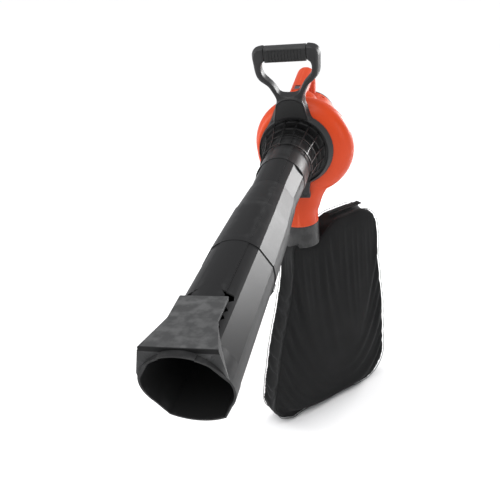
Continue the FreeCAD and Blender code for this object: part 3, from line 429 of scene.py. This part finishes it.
def bag_outline(samples):
    """The bag's flat outline, read off the gusset solid as the furthest point in each direction."""
    mesh = nodes["bag_gusset"].data
    corners = np.array([v.co for v in mesh.vertices])
    ends = np.array([e.vertices[:] for e in mesh.edges])
    shares = np.linspace(0, 1, 12)[:, None, None]
    along_edges = corners[ends[:, 0]] * (1 - shares) + corners[ends[:, 1]] * shares
    local = bag_local(along_edges.reshape(-1, 3))
    low, high = local.min(0), local.max(0)
    centre = np.array([(low[0] + high[0]) / 2, (low[2] + high[2]) / 2])
    reach = local[:, [0, 2]] - centre
    angles = np.arctan2(reach[:, 1], reach[:, 0])
    radii = np.hypot(reach[:, 0], reach[:, 1])
    bins = np.linspace(-math.pi, math.pi, samples, endpoint=False)
    width = 2 * math.pi / samples
    outline = []
    for angle in bins:
        near = np.abs((angles - angle + math.pi) % (2 * math.pi) - math.pi) < width * 0.75
        outline.append((angle, radii[near].max() if near.any() else np.nan))
    outline = np.array(outline)
    known = ~np.isnan(outline[:, 1])
    outline[:, 1] = np.interp(bins, bins[known], outline[known, 1], period=2 * math.pi)
    outline[:, 1] = (np.roll(outline[:, 1], 1) + 2 * outline[:, 1] + np.roll(outline[:, 1], -1)) / 4
    return centre, outline


def bag_shell(samples=220, rings=22):
    """Closed pouch: two crowned panels, a gusset between them, and their seams."""
    centre, outline = bag_outline(samples)
    verts, faces = [], []
    rows = []
    for side in (-1, 1):
        rows.append([])
        for ring in range(rings):
            k = 1 - ring / rings
            t = side * (SEAM_ACROSS + CROWN * (1 - k ** 3))
            rows[-1].append((k, t))
    gusset = [(1.0 - GUSSET_HOLLOW * (1 - (t / SEAM_ACROSS) ** 2), t) for t in GUSSET_ROWS]
    ladder = rows[0][::-1] + gusset + rows[1]
    for k, t in ladder:
        for angle, radius in outline:
            r = radius * k - CLOTH_INSET
            verts.append((centre[0] + math.cos(angle) * r, t, centre[1] + math.sin(angle) * r))
    for row in range(len(ladder) - 1):
        for i in range(samples):
            j = (i + 1) % samples
            here, above = row * samples, (row + 1) * samples
            faces.append((here + i, here + j, above + j, above + i))
    faces.append(tuple(range(samples)))
    faces.append(tuple(range((len(ladder) - 1) * samples, len(ladder) * samples))[::-1])
    bag = add_mesh("bag_cloth_body", bag_world(verts), faces, "bag_cloth")
    seams = []
    for side in (-1, 1):
        ring = []
        for angle, radius in outline:
            r = radius - CLOTH_INSET
            ring.append((centre[0] + math.cos(angle) * r, side * SEAM_ACROSS, centre[1] + math.sin(angle) * r))
        seams.append(bag_world(ring))
    return bag, seams


def mouth_share(points):
    """1 at the cloth's mouth round the collar, falling to 0 a little way down the bag."""
    local = bag_local(points)
    away = np.hypot(local[:, 0], local[:, 1]) - COLLAR_R
    below = COLLAR_LOW.z - local[:, 2]
    reach = np.clip(np.maximum(away - CLOTH_INSET, below - CLOTH_INSET) / FADE, 0, 1)
    return 1 - reach


def seam_share(points, seams, width):
    """1 on the seams, 0 further than the width from them."""
    share = np.zeros(len(points))
    for seam in seams:
        for start in range(0, len(points), 4000):
            block = points[start:start + 4000]
            gap = np.linalg.norm(block[:, None, :] - seam[None, :, :], axis=2).min(1)
            share[start:start + 4000] = np.maximum(share[start:start + 4000], np.clip(1 - gap / width, 0, 1))
    return share


def sag(bag, seams):
    """The pouch hangs from the collar: slack cloth buckles into folds, and no point moves past the cap."""
    start = coordinates(bag)
    top = start[:, 2].max()
    hem = np.clip((start[:, 2] - top + TOP_HEM) / FADE, 0, 1)
    held = np.maximum.reduce([mouth_share(start), hem, SEAM_HOLD * seam_share(start, seams, SEAM_REACH)])
    group = bag.vertex_groups.new(name="held")
    for index, weight in enumerate(held):
        if weight > 0:
            group.add([index], float(weight), "REPLACE")
    cloth = bag.modifiers.new("cloth", "CLOTH")
    settings = cloth.settings
    settings.vertex_group_mass = "held"
    settings.pin_stiffness = 3.0
    settings.quality = 6
    settings.mass = 0.25
    settings.tension_stiffness = settings.compression_stiffness = 12.0
    settings.shear_stiffness = 4.0
    settings.bending_stiffness = 0.35
    settings.shrink_min = settings.shrink_max = -CLOTH_SLACK
    settings.use_pressure = True
    settings.uniform_pressure_force = 0.6
    settings.effector_weights.gravity = 1.0
    cloth.collision_settings.use_collision = False
    cloth.point_cache.frame_start, cloth.point_cache.frame_end = 1, SAG_FRAMES
    for step in range(1, SAG_FRAMES + 1):
        bpy.context.scene.frame_set(step)
    apply_modifiers(bag)
    bpy.context.scene.frame_set(1)
    end = coordinates(bag)
    move = end - start
    length = np.maximum(np.linalg.norm(move, axis=1), 1e-9)
    move *= (np.minimum(length, SAG_CAP) / length)[:, None]
    set_coordinates(bag, start + move)
    return start, move


def carried(points, start, move):
    """Points on the cloth before it sagged, moved as the cloth near them moved."""
    out = []
    for point in points:
        gap = np.linalg.norm(start - point, axis=1)
        near = np.argsort(gap)[:6]
        weight = 1 / (gap[near] + 0.001)
        out.append(point + (move[near] * weight[:, None]).sum(0) / weight.sum())
    out = np.array(out)
    for _ in range(2):
        out = (np.roll(out, 1, 0) + 2 * out + np.roll(out, -1, 0)) / 4
    return out


def cut_mouth(bag):
    """Opens the pouch where the collar goes through it."""
    mesh = bmesh.new()
    mesh.from_mesh(bag.data)
    inside = []
    for face in mesh.faces:
        middle = face.calc_center_median()
        away = math.hypot(middle.x - COLLAR_AXIS.x, middle.y - COLLAR_AXIS.y)
        if away < COLLAR_R - MOUTH_INSIDE and middle.z > COLLAR_LOW.z - MOUTH_BELOW:
            inside.append(face)
    bmesh.ops.delete(mesh, geom=inside, context="FACES")
    mesh.to_mesh(bag.data)
    mesh.free()


def zip_extent():
    """The CAD tape's low and high corners: along the bag, across it and up."""
    local = bag_local([v.co for v in nodes["bag_zip"].data.vertices])
    return local.min(0), local.max(0)


def make_zip():
    """Woven tape with slightly wavy edges, and two rows of teeth down its middle."""
    low, high = zip_extent()
    deck, wave_height, tape_thick = low[2] + 0.0013, 0.0004, 0.0012
    verts, faces = [], []
    steps, half = 56, (high[1] - low[1]) / 2
    lanes = (-1.0, -0.8, -0.3, 0.3, 0.8, 1.0)
    for i in range(steps + 1):
        s = low[0] + (high[0] - low[0]) * i / steps
        for lane in lanes:
            wave = wave_height * math.sin(i * 0.55 + lane * 2.1) * abs(lane)
            verts.append((s, lane * half, deck + wave))
    for i in range(steps):
        for k in range(len(lanes) - 1):
            a = i * len(lanes) + k
            faces.append((a, a + len(lanes), a + len(lanes) + 1, a + 1))
    tape = add_mesh("bag_zip_tape", bag_world(verts), faces, "zip_tape")
    shell = tape.modifiers.new("thickness", "SOLIDIFY")
    shell.thickness, shell.offset = tape_thick, 0
    apply_modifiers(tape)
    verts, faces = [], []
    pitch, tooth_half, tooth_reach, tooth_high = 0.0030, 0.0006, 0.0023, 0.0014
    count = int((high[0] - low[0]) / pitch) - 1
    for i in range(2 * count):
        side = 1 if i % 2 else -1
        s = low[0] + pitch * (0.75 + i / 2)
        base = len(verts)
        for ds in (-tooth_half, tooth_half):
            for t in (side * -tooth_half, side * tooth_reach):
                for z in (deck, deck + tooth_high):
                    verts.append((s + ds, t, z))
        for quad in ((0, 1, 3, 2), (4, 6, 7, 5), (0, 4, 5, 1), (2, 3, 7, 6), (1, 5, 7, 3), (0, 2, 6, 4)):
            faces.append(tuple(base + k for k in quad))
    teeth = add_mesh("bag_zip_teeth", bag_world(verts), faces, "black_plastic", smooth=False)
    for piece, slot in ((tape, "zip_tape"), (teeth, "black_plastic")):
        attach(piece, "bag")
        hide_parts("bag_zip")


def make_bag():
    """A pouch that sags, then gets its seam grooves, its mouth, its thickness and its piping."""
    bag, seams = bag_shell()
    remesh(bag, CLOTH_VOXEL)
    start = coordinates(bag)
    move = np.zeros_like(start)
    start, move = sag(bag, seams)
    smooth_mesh(bag, 0.5, 2)
    seams = [carried(seam, start, move) for seam in seams]
    bag.modifiers.new("fine", "SUBSURF").levels = 1
    apply_modifiers(bag)
    points = coordinates(bag)
    pull = seam_share(points, seams, SEAM_WIDTH)
    normals = np.array([v.normal for v in bag.data.vertices])
    set_coordinates(bag, points - normals * (pull ** 1.5 * SEAM_DEPTH)[:, None])
    cut_mouth(bag)
    shell = bag.modifiers.new("thickness", "SOLIDIFY")
    shell.thickness, shell.offset = CLOTH_THICK, -1
    apply_modifiers(bag)
    for polygon in bag.data.polygons:
        polygon.use_smooth = True
    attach(bag, "bag")
    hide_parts("bag_front_panel", "bag_rear_panel", "bag_gusset")
    for name, seam in zip(("bag_seam_front", "bag_seam_rear"), seams):
        piping = add_tube(name, [Vector(p) for p in seam], PIPING_R, "bag_cloth", closed=True, sides=6)
        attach(piping, "bag")


# ---- camera, lights, floor ----
def aim(thing, back, roll=0.0):
    turn = back.to_track_quat("Z", "Y").to_matrix().to_4x4() @ Matrix.Rotation(roll, 4, "Z")
    thing.matrix_world = Matrix.Translation(thing.location) @ turn


def add_camera():
    azimuth, elevation, roll = math.radians(14.61), math.radians(26.51), math.radians(-6.09)
    distance, target = 1.8248, place(-132.2, 0, -264.3)
    back = Vector((math.sin(azimuth) * math.cos(elevation), -math.cos(azimuth) * math.cos(elevation),
                   math.sin(elevation)))
    data = bpy.data.cameras.new("camera")
    data.lens, data.sensor_width = 50.4, 36.0
    camera = bpy.data.objects.new("camera", data)
    bpy.context.scene.collection.objects.link(camera)
    camera.location = target + back * distance
    aim(camera, back, roll)
    bpy.context.scene.camera = camera


def add_softbox(name, offset, size, power):
    middle = place(0, -250, -250)
    data = bpy.data.lights.new(name, "AREA")
    data.shape, data.size, data.size_y, data.energy = "RECTANGLE", size[0], size[1], power
    light = bpy.data.objects.new(name, data)
    bpy.context.scene.collection.objects.link(light)
    light.location = middle + Vector(offset)
    aim(light, Vector(offset).normalized())


def add_studio():
    add_softbox("softbox_right", (1.5, 2.4, 0.45), (0.9, 0.8), 55)
    add_softbox("softbox_side", (2.6, -0.9, 0.8), (0.7, 1.4), 8)
    add_softbox("softbox_left", (-2.3, 0.5, 0.9), (0.7, 2.0), 24)
    sun = bpy.data.lights.new("overhead", "SUN")
    sun.energy, sun.angle = 2.6, math.radians(70)
    overhead = bpy.data.objects.new("overhead", sun)
    bpy.context.scene.collection.objects.link(overhead)
    aim(overhead, Vector((-0.1, -0.35, 1.0)).normalized())
    world = bpy.data.worlds.new("studio")
    world.use_nodes = True
    world.node_tree.nodes["Background"].inputs["Color"].default_value = (0.95, 0.96, 1.0, 1)
    world.node_tree.nodes["Background"].inputs["Strength"].default_value = 0.34
    bpy.context.scene.world = world
    bpy.context.scene.view_settings.view_transform = "Standard"


def add_floor():
    low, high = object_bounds()
    bpy.ops.mesh.primitive_plane_add(size=24, location=((low.x + high.x) / 2, 0, low.z - 0.002))
    floor = bpy.context.object
    floor.name = "floor"
    n = Nodes("floor")
    n.link(n.ramp(n.noise(2.0, 3.0), 0.3, 0.7, (0.93, 0.93, 0.93), (0.95, 0.95, 0.95)),
           n.shader.inputs["Base Color"])
    n.shader.inputs["Roughness"].default_value = 0.9
    n.shader.inputs["Specular IOR Level"].default_value = 0.1
    floor.data.materials.append(n.material)


dress_nodes()
soften("front_frame", "grey_frame", 0.0013, 0.5, 7, place(0, 0, 135).z)
make_bag()
make_zip()
add_camera()
add_studio()
add_floor()
